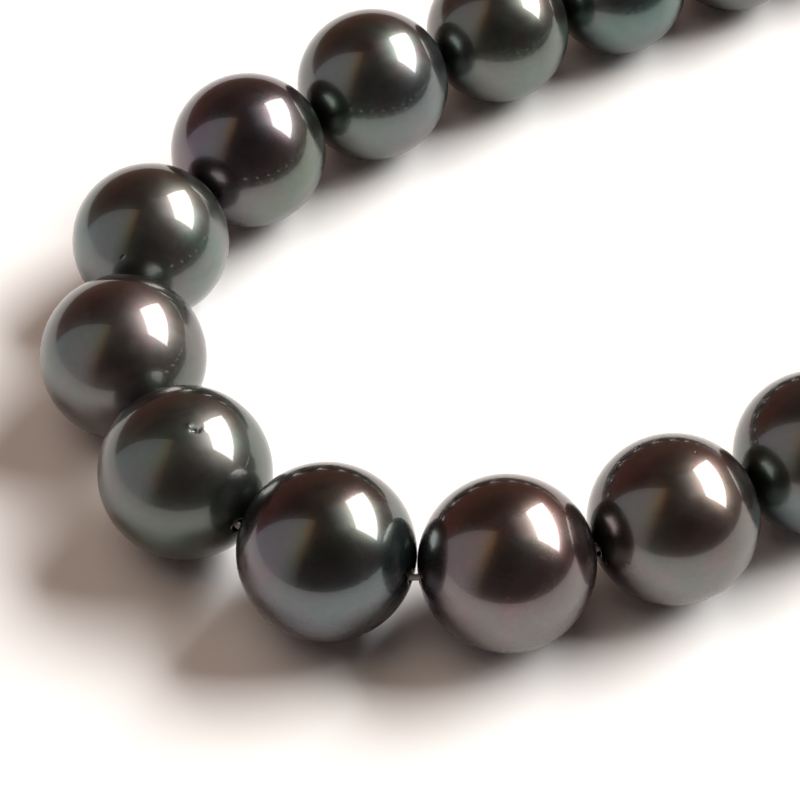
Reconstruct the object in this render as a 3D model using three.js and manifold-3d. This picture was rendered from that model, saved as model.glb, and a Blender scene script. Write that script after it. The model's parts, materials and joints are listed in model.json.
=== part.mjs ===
// A graduated strand of round black pearls on a silk thread, with a small
// lobster-claw clasp, laid open on a flat surface with the clasp undone.
//
// Millimetres, +Z up. z = 0 is the surface that the strand lies on, and the
// origin is the middle of the bounding box at that height. Every pearl is a
// separate solid with its drill hole, threaded along its own axis, and each
// gap between two pearls holds the pivot that the strand bends about.

import * as THREE from 'three';
import * as BufferGeometryUtils from 'three/addons/utils/BufferGeometryUtils.js';
import Module from 'manifold-3d';

// ---------------------------------------------------------------- dimensions

// radius of each pearl, from the clasp end to the ring end
const PEARL_R = [
  4.03, 4.12, 4.18, 4.27, 4.32, 4.40, 4.45, 4.53, 4.58, 4.66, 4.71, 4.80, 4.85, 4.91,
  5.00, 5.04, 5.13, 5.19,
  5.26, 5.34, 5.46, 5.54, 5.51, 5.44, 5.31, 5.40, 5.40, 5.19, 5.01,
  4.97, 4.88, 4.83, 4.74, 4.69, 4.60, 4.54, 4.47, 4.38, 4.33, 4.25, 4.19, 4.10, 4.04,
];
// direction of the drill hole of each pearl as the strand lies, degrees from +X
const PEARL_HEADING = [
  -126, -132, -138, -144, -150, -156, -161, -165, -168, -170, -170, -169, -167, -164,
  -160, -156, -152, -149,
  -147.7, -155.6, -170.5, -202.1, -232.2, -261.4, -293.6, -320.2, -326.9, -330.3, -334.1,
  -333, -329, -324, -319, -315, -312, -311, -312, -316, -321, -327, -334, -342, -350,
];
const FRONT = 21;              // index of the largest pearl, at the front of the strand
const POLE_GAP = 0.12;         // from a pearl's surface to the pivot on a straight stretch
const SIDE_GAP = 0.10;         // least gap between two pearls on the inside of a bend
const DRILL_R = 0.45;          // drill hole, 0.9 mm
const PEARL_SIDES = 12;        // facets round the drill hole
const PEARL_STEPS = 8;         // facets from pole to pole

const THREAD_R = 0.25;         // 0.5 mm twisted silk
const THREAD_SIDES = 6;

const KNOT_T0 = 0.20;          // finishing knot, measured out from the end pearl
const KNOT_T1 = 1.15;
const KNOT_R = 0.64;
const KNOT_HOLE_R = 0.38;

const GIMP_R = 0.45;           // coiled wire sleeve over the thread's end loop
const GIMP_BORE_R = 0.34;
const GIMP_T0 = 1.75;          // where the two legs of the loop start
const GIMP_LEG = 0.51;         // half the distance between the legs there
const GIMP_TS = 3.05;          // centre of the loop's round end
const GIMP_LOOP_R = 1.15;

const RING_R = 2.60;           // jump rings, to the middle of the wire
const RING_WIRE_R = 0.40;
const LINK_PLAY = 0.10;        // free play between two linked rings

const CLASP_Z = 1.60;          // middle of the clasp's thickness
const CLASP_T = 3.20;          // its thickness
const EYE_HOLE_R = 1.15;
const EYE_R = 2.10;
const EYE_T = 0.90;
const EYE_RIM_R = 0.62;         // half the diagonal of the eye's rim
const HOOK_P = 7.20;           // centre of the hook's round end, from the eye
const HOOK_R = 3.60;
const HOOK_BORE_R = 2.30;
const LEVER_T = 1.00;
const SLOT_T = 1.30;
const RIVET_P = 3.90;
const RIVET_Q = -1.20;
const RIVET_R = 0.45;
const RIVET_HOLE_R = 0.51;

const CATCH_R = 2.60;          // soldered ring that the claw hooks
const CATCH_WIRE_R = 0.50;

// --------------------------------------------------------------- small tools

const wasm = await Module();
wasm.setup();

const rad = (d) => (d * Math.PI) / 180;

function toSolid(geometry) {
  let g = geometry.index ? geometry.toNonIndexed() : geometry.clone();
  g.deleteAttribute('normal');
  g.deleteAttribute('uv');
  g = BufferGeometryUtils.mergeVertices(g, 1e-5);
  return new wasm.Manifold(new wasm.Mesh({
    numProp: 3,
    vertProperties: Float32Array.from(g.attributes.position.array),
    triVerts: Uint32Array.from(g.index.array),
  }));
}

function toGeometry(solid) {
  const m = solid.getMesh();
  const g = new THREE.BufferGeometry();
  const pos = new Float32Array((m.vertProperties.length / m.numProp) * 3);
  for (let i = 0; i < pos.length / 3; i++) {
    pos[3 * i] = m.vertProperties[m.numProp * i];
    pos[3 * i + 1] = m.vertProperties[m.numProp * i + 1];
    pos[3 * i + 2] = m.vertProperties[m.numProp * i + 2];
  }
  g.setAttribute('position', new THREE.BufferAttribute(pos, 3));
  g.setIndex(Array.from(m.triVerts));
  g.computeVertexNormals();
  return g;
}

// a path of straight runs whose every vertex gets one cross-section
class RouteCurve extends THREE.Curve {
  constructor(points) {
    super();
    this.points = points;
    const n = points.length;
    this.tangents = points.map((p, i) => {
      const a = points[Math.max(i - 1, 0)];
      const b = points[Math.min(i + 1, n - 1)];
      const t0 = p.clone().sub(a);
      const t1 = b.clone().sub(p);
      if (t0.lengthSq() > 0) t0.normalize();
      if (t1.lengthSq() > 0) t1.normalize();
      return t0.add(t1).normalize();
    });
  }

  at(list, u, target) {
    const f = u * (list.length - 1);
    const i = Math.min(Math.max(Math.round(f), 0), list.length - 1);
    return target.copy(list[i]);
  }

  getPoint(u, target = new THREE.Vector3()) { return this.at(this.points, u, target); }
  getPointAt(u, target = new THREE.Vector3()) { return this.at(this.points, u, target); }
  getTangent(u, target = new THREE.Vector3()) { return this.at(this.tangents, u, target); }
  getTangentAt(u, target = new THREE.Vector3()) { return this.at(this.tangents, u, target); }
}

function circleShape(radius, sides, holeRadius = 0) {
  const ring = (r) => Array.from({ length: sides }, (_, i) => {
    const a = (2 * Math.PI * i) / sides;
    return new THREE.Vector2(r * Math.cos(a), r * Math.sin(a));
  });
  const shape = new THREE.Shape(ring(radius));
  if (holeRadius > 0) shape.holes.push(new THREE.Path(ring(holeRadius).reverse()));
  return shape;
}

function tube(points, radius, sides, holeRadius = 0) {
  return new THREE.ExtrudeGeometry(circleShape(radius, sides, holeRadius), {
    steps: points.length - 1,
    bevelEnabled: false,
    extrudePath: new RouteCurve(points),
  });
}

// lathe profile with the lathe's axis laid along +X: it closes on itself unless
// it starts and ends on the axis
function latheAlongX(profile, sides) {
  const pts = profile.map(([r, x]) => new THREE.Vector2(r, x));
  if (profile[0][0] > 0) pts.push(pts[0].clone());
  const g = new THREE.LatheGeometry(pts, sides);
  g.rotateZ(-Math.PI / 2);
  return g;
}

// ------------------------------------------------------------------- layout

// The pivot between two pearls stands off both of them by the same distance.
// It grows in a bend, because the pearls meet on the inside of the bend.
function poleGap(r1, r2, bend) {
  let e = POLE_GAP;
  for (let k = 0; k < 40; k++) {
    const a = r1 + e;
    const b = r2 + e;
    const d = Math.sqrt(a * a + b * b + 2 * a * b * Math.cos(bend));
    const need = r1 + r2 + SIDE_GAP;
    if (d >= need) break;
    e += (need - d) / 1.9;
  }
  return e;
}

const COUNT = PEARL_R.length;
const heading = PEARL_HEADING.map((h) => rad(h));
const gaps = [];
for (let i = 0; i < COUNT - 1; i++) {
  gaps.push(poleGap(PEARL_R[i], PEARL_R[i + 1], heading[i + 1] - heading[i]));
}
const along = heading.map((h) => new THREE.Vector3(Math.cos(h), Math.sin(h), 0));
const centre = new Array(COUNT);
const pivot = new Array(COUNT - 1);
centre[FRONT] = new THREE.Vector3(0, 0, PEARL_R[FRONT]);
for (let i = FRONT; i < COUNT - 1; i++) {
  pivot[i] = centre[i].clone().addScaledVector(along[i], PEARL_R[i] + gaps[i]);
  centre[i + 1] = pivot[i].clone().addScaledVector(along[i + 1], PEARL_R[i + 1] + gaps[i]);
  pivot[i].z = (PEARL_R[i] + PEARL_R[i + 1]) / 2;
  centre[i + 1].z = PEARL_R[i + 1];
}
for (let i = FRONT; i > 0; i--) {
  pivot[i - 1] = centre[i].clone().addScaledVector(along[i], -(PEARL_R[i] + gaps[i - 1]));
  centre[i - 1] = pivot[i - 1].clone().addScaledVector(along[i - 1], -(PEARL_R[i - 1] + gaps[i - 1]));
  pivot[i - 1].z = (PEARL_R[i] + PEARL_R[i - 1]) / 2;
  centre[i - 1].z = PEARL_R[i - 1];
}

// A frame at each end of the strand: t runs outward from the end pearl's pole,
// s to the left, z up from the surface.
function endFrame(index, outward) {
  const u = along[index].clone().multiplyScalar(outward);
  const v = new THREE.Vector3(-u.y, u.x, 0);
  const o = centre[index].clone().addScaledVector(u, PEARL_R[index]);
  o.z = 0;
  return {
    u,
    v,
    o,
    z: PEARL_R[index],
    angle: Math.atan2(u.y, u.x),
    point: (t, s, z) => o.clone().addScaledVector(u, t).addScaledVector(v, s).setZ(z),
  };
}
const endA = endFrame(0, -1);
const endB = endFrame(COUNT - 1, 1);

// centreline of the thread's end loop, from one leg round to the other
function loopLine() {
  const pts = [];
  const legSteps = 4;
  for (let i = 0; i < legSteps; i++) {
    const k = i / legSteps;
    const ease = k * k * (3 - 2 * k);
    pts.push([GIMP_T0 + (GIMP_TS - GIMP_T0) * k, GIMP_LEG + (GIMP_LOOP_R - GIMP_LEG) * ease]);
  }
  const arcSteps = 8;
  for (let i = 0; i <= arcSteps; i++) {
    const a = Math.PI / 2 - (Math.PI * i) / arcSteps;
    pts.push([GIMP_TS + GIMP_LOOP_R * Math.cos(a), GIMP_LOOP_R * Math.sin(a)]);
  }
  for (let i = legSteps - 1; i >= 0; i--) pts.push([pts[i][0], -pts[i][1]]);
  return pts;
}
const LOOP = loopLine();
const APEX_T = GIMP_TS + GIMP_LOOP_R;

// ------------------------------------------------------------------- pieces

const necklace = new THREE.Group();

function add(name, geometry, material, place = {}) {
  const mesh = new THREE.Mesh(geometry, new THREE.MeshStandardMaterial(material));
  mesh.name = name;
  if (place.position) mesh.position.copy(place.position);
  if (place.turn) mesh.rotation.z = place.turn;
  necklace.add(mesh);
  return mesh;
}

// overtones of the nacre: aubergine, green, grey, blue-green, violet
const NACRE = [0x3b3a3c, 0x2f3a37, 0x3a4244, 0x40373b, 0x33403c, 0x38343f, 0x3c4340];
const SILVER = { color: 0xc9cacb, roughness: 0.18, metalness: 1.0 };
const SILK = { color: 0x938c82, roughness: 0.85, metalness: 0.0 };

// pearls: a drilled sphere each, one facet corner pointing straight down so
// that it touches the surface
for (let i = 0; i < COUNT; i++) {
  const R = PEARL_R[i];
  const mouth = Math.asin(DRILL_R / R);
  const profile = [];
  for (let k = 0; k <= PEARL_STEPS; k++) {
    const a = mouth + ((Math.PI - 2 * mouth) * k) / PEARL_STEPS;
    profile.push([R * Math.sin(a), -R * Math.cos(a)]);
  }
  add(`pearl_${String(i + 1).padStart(2, '0')}`, latheAlongX(profile, PEARL_SIDES),
    { color: NACRE[(i * 3) % NACRE.length], roughness: 0.12, metalness: 0.55 },
    { position: centre[i], turn: heading[i] });
}

// stringing thread: one length on the real strand, from the end loop at the
// clasp, through every pearl, to the end loop at the ring. Here it is six
// stretches of seven gaps each, which meet in the drill hole of a pearl.
const THREAD_MEETS = [7, 14, 21, 28, 35];
const MEET_GAP = 0.30;

function loopThread(end) {
  const pts = LOOP.map(([t, s]) => end.point(t, s, end.z));
  pts.unshift(end.point(GIMP_T0 - 0.16, GIMP_LEG * 0.86, end.z));
  pts.unshift(end.point(KNOT_T1 + 0.12, 0.05, end.z));
  pts.push(end.point(GIMP_T0 - 0.14, -GIMP_LEG, end.z));
  return pts;
}
function insidePearl(i, along) {
  const axis = new THREE.Vector3(Math.cos(heading[i]), Math.sin(heading[i]), 0);
  return centre[i].clone().addScaledVector(axis, along);
}
const stops = [0, ...THREAD_MEETS, COUNT - 1];
for (let k = 0; k < stops.length - 1; k++) {
  const [from, to] = [stops[k], stops[k + 1]];
  const route = [];
  if (from === 0) route.push(...loopThread(endA).reverse(), endA.point(KNOT_T1 - 0.1, 0, endA.z));
  else route.push(insidePearl(from, MEET_GAP / 2));
  for (let i = from; i < to; i++) route.push(pivot[i].clone());
  if (to === COUNT - 1) route.push(endB.point(KNOT_T1 - 0.1, 0, endB.z), ...loopThread(endB));
  else route.push(insidePearl(to, -MEET_GAP / 2));
  add(`stringing_thread_${k + 1}`, tube(route, THREAD_R, THREAD_SIDES), SILK);
}

for (const [tag, end] of [['a', endA], ['b', endB]]) {
  // finishing knot, close against the end pearl
  const knot = latheAlongX([
    [KNOT_HOLE_R, KNOT_T0],
    [KNOT_R * 0.78, KNOT_T0],
    [KNOT_R, KNOT_T0 + (KNOT_T1 - KNOT_T0) * 0.3],
    [KNOT_R * 0.96, KNOT_T0 + (KNOT_T1 - KNOT_T0) * 0.68],
    [KNOT_R * 0.7, KNOT_T1],
    [KNOT_HOLE_R, KNOT_T1],
  ], 10);
  add(`finishing_knot_${tag}`, knot, SILK, { position: end.o.clone().setZ(end.z), turn: end.angle });

  // gimp: a sleeve of coiled wire round the thread's loop
  add(`gimp_${tag}`, tube(LOOP.map(([t, s]) => end.point(t, s, end.z)), GIMP_R, 8, GIMP_BORE_R),
    { color: 0xb9babc, roughness: 0.3, metalness: 1.0 });
}

// Jump rings stand upright, hung through the gimp loops. The angle brings the
// clasp, or the catch ring, down to the surface.
const RING_PLAY_A = RING_R - RING_WIRE_R - GIMP_R - LINK_PLAY;
function jumpRing(end, name) {
  const zc = RING_R + RING_WIRE_R + 0.012;
  const drop = end.z - zc;
  const tc = APEX_T + Math.sqrt(RING_PLAY_A * RING_PLAY_A - drop * drop);
  const g = new THREE.TorusGeometry(RING_R, RING_WIRE_R, 8, 16);
  g.rotateX(Math.PI / 2);
  const mesh = add(name, g, SILVER, { position: end.point(tc, 0, zc), turn: end.angle });
  return { mesh, tc, zc };
}
const ringA = jumpRing(endA, 'jump_ring_a');
const ringB = jumpRing(endB, 'jump_ring_b');

// Clasp. Its own plan: p runs from the middle of the eye towards the nose and
// q to the left, with the lever on the -q side.
const EYE_PLAY = RING_R - RING_WIRE_R - EYE_RIM_R - LINK_PLAY;
const eyeRimT = ringA.tc + Math.sqrt(EYE_PLAY * EYE_PLAY - (ringA.zc - CLASP_Z) ** 2);
const EYE_CENTRE_T = eyeRimT + (EYE_R + EYE_HOLE_R) / 2;
const claspPlace = { position: endA.point(EYE_CENTRE_T, 0, CLASP_Z), turn: endA.angle };

function disc(p, q, r, h, sides) {
  const g = new THREE.CylinderGeometry(r, r, h, sides);
  g.rotateX(Math.PI / 2);
  g.translate(p, q, 0);
  return toSolid(g);
}
function plate(points, h, bevel = 0) {
  const shape = new THREE.Shape(points.map(([p, q]) => new THREE.Vector2(p, q)));
  const g = new THREE.ExtrudeGeometry(shape, {
    depth: h - 2 * bevel,
    bevelEnabled: bevel > 0,
    bevelThickness: bevel,
    bevelSize: bevel,
    bevelOffset: -bevel,
    bevelSegments: 2,
    steps: 1,
    curveSegments: 8,
  });
  g.translate(0, 0, -(h - 2 * bevel) / 2);
  return toSolid(g);
}
function arc(cp, cq, r, a0, a1, n) {
  return Array.from({ length: n + 1 }, (_, i) => {
    const a = rad(a0 + ((a1 - a0) * i) / n);
    return [cp + r * Math.cos(a), cq + r * Math.sin(a)];
  });
}

{
  // outline of the solid claw: neck, shoulders and round nose
  const outline = [
    [1.55, -0.85],
    [2.5, -2.15],
    [4.2, -2.85],
    ...arc(HOOK_P, 0, HOOK_R, -124, 124, 20),
    [4.2, 2.85],
    [2.5, 2.15],
    [1.55, 0.85],
  ];
  let body = plate(outline, CLASP_T, 0.45);
  const eye = disc(0, 0, EYE_R, EYE_T, 20);
  body = body.add(eye).subtract(disc(0, 0, EYE_HOLE_R, 4, 16));
  // the space inside the hook, and its mouth on the lever's side
  body = body.subtract(disc(HOOK_P + 0.1, 0.2, HOOK_BORE_R, 4, 20));
  body = body.subtract(plate([[4.95, -5], [8.05, -5], [8.64, -3.3], [8.95, -2.2], [9.08, -1.0], [5.3, -0.6]], 4));
  // the slot for the lever and its spring, and the rivet's hole
  body = body.subtract(plate([[2.1, -5], [6.2, -5], [6.2, 0.85], [2.1, 0.85]], SLOT_T));
  body = body.subtract(disc(RIVET_P, RIVET_Q, RIVET_HOLE_R, 6, 12));
  add('clasp_body', toGeometry(body), SILVER, claspPlace);
}
{
  // lever: boss round the rivet, curved arm that closes the mouth, thumb tab
  const boss = disc(RIVET_P, RIVET_Q, 1.05, LEVER_T, 14);
  const arm = plate([
    ...arc(HOOK_P, 0, HOOK_R - 0.12, -152, -68, 9),
    ...arc(HOOK_P, 0, HOOK_R - 1.05, -66, -158, 9),
  ], LEVER_T);
  const tab = plate([[2.55, -1.3], [2.35, -3.0], [2.0, -3.75], [2.75, -4.25], [3.75, -3.3], [4.6, -1.9]], LEVER_T);
  const lever = boss.add(arm).add(tab).subtract(disc(RIVET_P, RIVET_Q, RIVET_HOLE_R, 6, 12));
  add('clasp_lever', toGeometry(lever), SILVER, claspPlace);
}
{
  // rivet, domed at both ends
  const half = CLASP_T / 2;
  const g = latheAlongX([
    [0, -half + 0.02], [RIVET_R * 0.75, -half + 0.08], [RIVET_R, -half + 0.25],
    [RIVET_R, half - 0.25], [RIVET_R * 0.75, half - 0.08], [0, half - 0.02],
  ], 12);
  g.rotateY(-Math.PI / 2);
  g.translate(RIVET_P, RIVET_Q, 0);
  add('clasp_rivet', toGeometry(toSolid(g)), SILVER, claspPlace);
}
{
  // leaf spring, folded once, between the slot's end wall and the lever's boss
  const strip = [[2.45, 0.72], [3.4, 0.74], [4.5, 0.66], [5.0, 0.42], [4.85, 0.16], [4.35, 0.03], [3.75, 0.0]];
  const width = 0.07;
  const left = [];
  const right = [];
  strip.forEach(([p, q], i) => {
    const a = strip[Math.max(i - 1, 0)];
    const b = strip[Math.min(i + 1, strip.length - 1)];
    const l = Math.hypot(b[0] - a[0], b[1] - a[1]);
    const n = [-(b[1] - a[1]) / l, (b[0] - a[0]) / l];
    left.push([p + n[0] * width, q + n[1] * width]);
    right.unshift([p - n[0] * width, q - n[1] * width]);
  });
  add('clasp_spring', toGeometry(plate([...left, ...right].reverse(), 0.8)),
    { color: 0xa8a9ab, roughness: 0.3, metalness: 1.0 }, claspPlace);
}
{
  // catch ring: one rim rests on the surface, the other leans on its jump ring
  const play = RING_R - RING_WIRE_R - CATCH_WIRE_R - LINK_PLAY;
  const nearZ = ringB.zc - play * 0.985;
  const nearT = ringB.tc + Math.sqrt(play * play - (ringB.zc - nearZ) ** 2);
  const tilt = Math.asin((nearZ - CATCH_WIRE_R) / (2 * CATCH_R));
  const g = new THREE.TorusGeometry(CATCH_R, CATCH_WIRE_R, 8, 16);
  g.translate(CATCH_R, 0, 0);
  g.rotateY(tilt);
  add('catch_ring', g, SILVER, { position: endB.point(nearT, 0, nearZ), turn: endB.angle });
}

// ------------------------------------------------- origin, and joint places

// where each joint's axis passes, kept with the strand for reference
const joints = [];
for (let i = 0; i < COUNT - 1; i++) {
  joints.push({ gap: i, at: pivot[i].clone(), standoff: gaps[i] });
}
const places = {
  ring_a: endA.point(APEX_T, 0, endA.z),
  ring_b: endB.point(APEX_T, 0, endB.z),
  clasp: endA.point(EYE_CENTRE_T, 0, CLASP_Z),
  lever: endA.point(EYE_CENTRE_T + RIVET_P, RIVET_Q, CLASP_Z),
  catch: endB.point(ringB.tc + Math.sqrt(RING_R ** 2 - (ringB.zc - 1.45) ** 2), 0, 1.45),
  clasp_flat: endA.point(EYE_CENTRE_T + 3.4, 1.2, 0),
  out_a: endA.u.clone(),
  out_b: endB.u.clone(),
};

necklace.updateMatrixWorld(true);
const box = new THREE.Box3().setFromObject(necklace, true);
necklace.position.set(-(box.min.x + box.max.x) / 2, -(box.min.y + box.max.y) / 2, -box.min.z);
necklace.userData = { joints, places, heading: PEARL_HEADING, radius: PEARL_R, front: FRONT };

export default necklace;
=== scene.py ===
import json
import math
import numpy as np
import bpy
from mathutils import Matrix, Vector


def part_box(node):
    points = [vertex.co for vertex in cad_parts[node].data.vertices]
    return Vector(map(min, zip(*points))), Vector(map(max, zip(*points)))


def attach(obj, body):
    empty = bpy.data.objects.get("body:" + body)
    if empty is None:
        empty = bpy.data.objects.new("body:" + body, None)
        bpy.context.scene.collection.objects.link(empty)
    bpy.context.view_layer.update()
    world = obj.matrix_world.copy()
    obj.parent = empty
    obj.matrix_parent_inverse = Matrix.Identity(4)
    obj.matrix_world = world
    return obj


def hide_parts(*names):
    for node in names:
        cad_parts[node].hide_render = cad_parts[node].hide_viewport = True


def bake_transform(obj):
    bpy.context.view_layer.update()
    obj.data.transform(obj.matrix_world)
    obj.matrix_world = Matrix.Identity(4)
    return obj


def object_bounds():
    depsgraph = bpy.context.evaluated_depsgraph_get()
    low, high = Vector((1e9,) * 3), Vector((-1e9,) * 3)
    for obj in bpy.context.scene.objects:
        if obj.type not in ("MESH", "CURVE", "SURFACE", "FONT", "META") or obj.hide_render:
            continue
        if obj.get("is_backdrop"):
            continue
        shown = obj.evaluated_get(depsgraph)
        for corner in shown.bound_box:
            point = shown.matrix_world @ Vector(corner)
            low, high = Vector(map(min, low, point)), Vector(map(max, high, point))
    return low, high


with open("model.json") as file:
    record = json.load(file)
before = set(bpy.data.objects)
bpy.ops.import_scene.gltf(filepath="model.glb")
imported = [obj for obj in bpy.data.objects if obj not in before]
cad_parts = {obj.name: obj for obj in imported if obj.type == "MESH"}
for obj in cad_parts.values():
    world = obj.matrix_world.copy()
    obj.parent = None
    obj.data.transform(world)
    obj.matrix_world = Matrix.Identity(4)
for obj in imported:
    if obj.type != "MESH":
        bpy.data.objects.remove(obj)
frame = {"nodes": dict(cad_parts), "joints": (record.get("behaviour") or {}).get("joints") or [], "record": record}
cad_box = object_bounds()
MM = 0.001

# ------------------------------------------------------------------ the strand
PEARL_R = [
    4.03, 4.12, 4.18, 4.27, 4.32, 4.40, 4.45, 4.53, 4.58, 4.66, 4.71, 4.80, 4.85, 4.91,
    5.00, 5.04, 5.13, 5.19, 5.26, 5.34, 5.46, 5.54, 5.51, 5.44, 5.31, 5.40, 5.40, 5.19,
    5.01, 4.97, 4.88, 4.83, 4.74, 4.69, 4.60, 4.54, 4.47, 4.38, 4.33, 4.25, 4.19, 4.10, 4.04]
HEADING = [
    -126, -132, -138, -144, -150, -156, -161, -165, -168, -170, -170, -169, -167, -164,
    -160, -156, -152, -149, -147.7, -155.6, -170.5, -202.1, -232.2, -261.4, -293.6, -320.2,
    -326.9, -330.3, -334.1, -333, -329, -324, -319, -315, -312, -311, -312, -316, -321,
    -327, -334, -342, -350]
N = len(PEARL_R)
DRILL_R = 0.45
GROW = 0.044          # mm: the pearls' nacre comes to within a hair of its neighbour's


def node_mid(name):
    lo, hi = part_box(name)
    return np.array((lo + hi) / 2) * 1000.0


CENTRE = [node_mid(f"pearl_{i + 1:02d}") for i in range(N)]
ALONG = [np.array((math.cos(math.radians(h)), math.sin(math.radians(h)), 0.0)) for h in HEADING]
PIVOT = [None] * (N - 1)
for j in frame["joints"]:
    if j["name"].startswith("bend_"):
        PIVOT[int(j["name"][5:7]) - 1] = np.array(j["pos_m"]) * 1000.0

# ------------------------------------------------------------------ the camera
EL, ROLL = math.radians(48.485), math.radians(-1.689)
R0 = np.array((1.0, 0.0, 0.0))
U0 = np.array((0.0, math.sin(EL), math.cos(EL)))
F0 = np.array((0.0, math.cos(EL), -math.sin(EL)))
RIGHT = R0 * math.cos(ROLL) + U0 * math.sin(ROLL)
UP = -R0 * math.sin(ROLL) + U0 * math.cos(ROLL)
BACK = -F0
EYE = np.array((CENTRE[21][0] + 4.78, CENTRE[21][1] - 103.09, 135.88))
cam_data = bpy.data.cameras.new("camera")
cam_data.sensor_width = 36.0
cam_data.lens = 121.5
cam_data.clip_start = 0.01
cam_data.clip_end = 20.0
cam = bpy.data.objects.new("camera", cam_data)
bpy.context.scene.collection.objects.link(cam)
m = Matrix.Identity(4)
for r in range(3):
    m[r][0], m[r][1], m[r][2] = RIGHT[r], UP[r], BACK[r]
    m[r][3] = EYE[r] * MM
cam.matrix_world = m
bpy.context.scene.camera = cam


def seen_dir(i, x, y):
    """Outward direction of the point of pearl i that shows at (x, y), in radii from its middle."""
    back = EYE - CENTRE[i]
    back /= np.linalg.norm(back)
    right = np.cross(UP, back)
    right /= np.linalg.norm(right)
    up = np.cross(back, right)
    z = math.sqrt(max(0.0, 1 - x * x - y * y))
    d = right * x + up * y + back * z
    return d / np.linalg.norm(d)


# ------------------------------------------------------------------- mesh tools
def new_mesh(name, verts_mm, faces, smooth=True):
    me = bpy.data.meshes.new(name)
    me.from_pydata([tuple(v) for v in np.asarray(verts_mm, float) * MM], [], faces)
    me.validate()
    me.update()
    if smooth:
        me.polygons.foreach_set("use_smooth", [True] * len(me.polygons))
    ob = bpy.data.objects.new(name, me)
    bpy.context.scene.collection.objects.link(ob)
    return ob


def ring_faces(nr, ns, closed=False, flip=False):
    """Quads between nr rings of ns points."""
    faces = []
    for a in range(nr if closed else nr - 1):
        b = (a + 1) % nr
        for k in range(ns):
            k2 = (k + 1) % ns
            f = (a * ns + k, a * ns + k2, b * ns + k2, b * ns + k)
            faces.append(f[::-1] if flip else f)
    return faces


def path_frames(pts, closed=False):
    """Tangent, normal and binormal along a path, with the least twist."""
    pts = np.asarray(pts, float)
    n = len(pts)
    if closed:
        t = np.roll(pts, -1, 0) - np.roll(pts, 1, 0)
    else:
        t = np.gradient(pts, axis=0)
    t /= np.linalg.norm(t, axis=1)[:, None]
    nrm = np.zeros_like(pts)
    a = np.array((0.0, 0.0, 1.0)) if abs(t[0][2]) < 0.9 else np.array((1.0, 0.0, 0.0))
    v = a - t[0] * np.dot(a, t[0])
    nrm[0] = v / np.linalg.norm(v)
    for i in range(1, n):
        v = nrm[i - 1] - t[i] * np.dot(nrm[i - 1], t[i])
        nrm[i] = v / np.linalg.norm(v)
    return t, nrm, np.cross(t, nrm)


def sweep(pts, radius, sides, closed=False, lobes=0, lobe=0.0, twist=0.0, cap_round=True):
    """Tube along pts (mm). radius is a number or one per point. lobes make a plied cross-section."""
    pts = np.asarray(pts, float)
    n = len(pts)
    t, nn, bb = path_frames(pts, closed)
    if closed:
        # spread the leftover twist so that the last ring meets the first
        end = nn[-1] - t[0] * np.dot(nn[-1], t[0])
        end /= np.linalg.norm(end)
        left = math.atan2(np.dot(np.cross(end, nn[0]), t[0]), np.dot(end, nn[0]))
    else:
        left = 0.0
    rad = np.full(n, float(radius)) if np.isscalar(radius) else np.asarray(radius, float)
    s = np.concatenate(([0.0], np.cumsum(np.linalg.norm(np.diff(pts, axis=0), axis=1))))
    th = 2 * math.pi * np.arange(sides) / sides
    verts = []
    for i in range(n):
        turn = left * i / max(n, 1)
        rr = rad[i] * (1 + lobe * (np.cos(lobes * (th - twist * s[i])) - 1)) if lobes else np.full(sides, rad[i])
        c, sn = np.cos(th + turn), np.sin(th + turn)
        verts.append(pts[i] + (c * rr)[:, None] * nn[i] + (sn * rr)[:, None] * bb[i])
    verts = np.concatenate(verts)
    faces = ring_faces(n, sides, closed)
    if not closed:
        v = [verts]
        base = len(verts)
        v.append(np.array([pts[0] - t[0] * rad[0] * (0.5 if cap_round else 0.0), pts[-1] + t[-1] * rad[-1] * (0.5 if cap_round else 0.0)]))
        verts = np.concatenate(v)
        for k in range(sides):
            k2 = (k + 1) % sides
            faces.append((base, k2, k))
            faces.append((base + 1, (n - 1) * sides + k, (n - 1) * sides + k2))
    return verts, faces


def joined(parts):
    verts, faces, off = [], [], 0
    for v, f in parts:
        verts.append(v)
        faces += [tuple(i + off for i in q) for q in f]
        off += len(v)
    return np.concatenate(verts), faces


# -------------------------------------------------------------------- materials
def mat(name):
    mt = bpy.data.materials.new(name)
    mt.use_nodes = True
    nt = mt.node_tree
    nt.nodes.clear()
    out = nt.nodes.new("ShaderNodeOutputMaterial")
    bsdf = nt.nodes.new("ShaderNodeBsdfPrincipled")
    nt.links.new(bsdf.outputs[0], out.inputs[0])
    return mt, nt, bsdf


def nd(nt, kind, **kw):
    n = nt.nodes.new(kind)
    for k, v in kw.items():
        if k in n.inputs:
            n.inputs[k].default_value = v
        else:
            setattr(n, k, v)
    return n


def noise(nt, coord, scale, detail=2.0, rough=0.5, dist=0.0):
    n = nt.nodes.new("ShaderNodeTexNoise")
    n.inputs["Scale"].default_value = scale
    n.inputs["Detail"].default_value = detail
    n.inputs["Roughness"].default_value = rough
    n.inputs["Distortion"].default_value = dist
    nt.links.new(coord, n.inputs["Vector"])
    return n


def ramp(nt, fac, lo, hi, a, b):
    r = nt.nodes.new("ShaderNodeMapRange")
    r.inputs["From Min"].default_value = lo
    r.inputs["From Max"].default_value = hi
    r.inputs["To Min"].default_value = a
    r.inputs["To Max"].default_value = b
    nt.links.new(fac, r.inputs["Value"])
    return r.outputs[0]


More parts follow.
